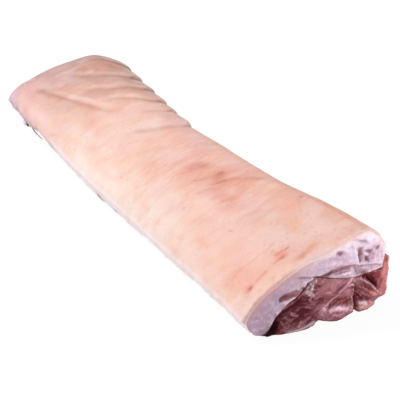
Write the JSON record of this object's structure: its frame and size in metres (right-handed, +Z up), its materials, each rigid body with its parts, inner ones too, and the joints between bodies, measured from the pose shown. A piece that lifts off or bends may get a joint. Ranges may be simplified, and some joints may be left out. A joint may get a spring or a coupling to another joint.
{
  "type": "boneless pork loin with rind",
  "caption": "Raw boneless pork loin lying rind up: a folded rind and thick fat cap wrapped over the lean, with a cut face at each end.",
  "frame": {"origin": "on the table under the middle of the piece's box", "axes": "+X along the length towards the detailed cut end, +Y towards the thick chine side, +Z up"},
  "size_m": [0.6132, 0.1668, 0.0848],
  "materials": {
    "rind_and_fat": "raw pale pink rind over moist white fat",
    "lean": "raw moist dark pink lean with fine marbling"
  },
  "bodies": {
    "root": {"fat_cap_with_rind": "rind_and_fat", "lean_meat": "lean"}
  },
  "joints": []
}
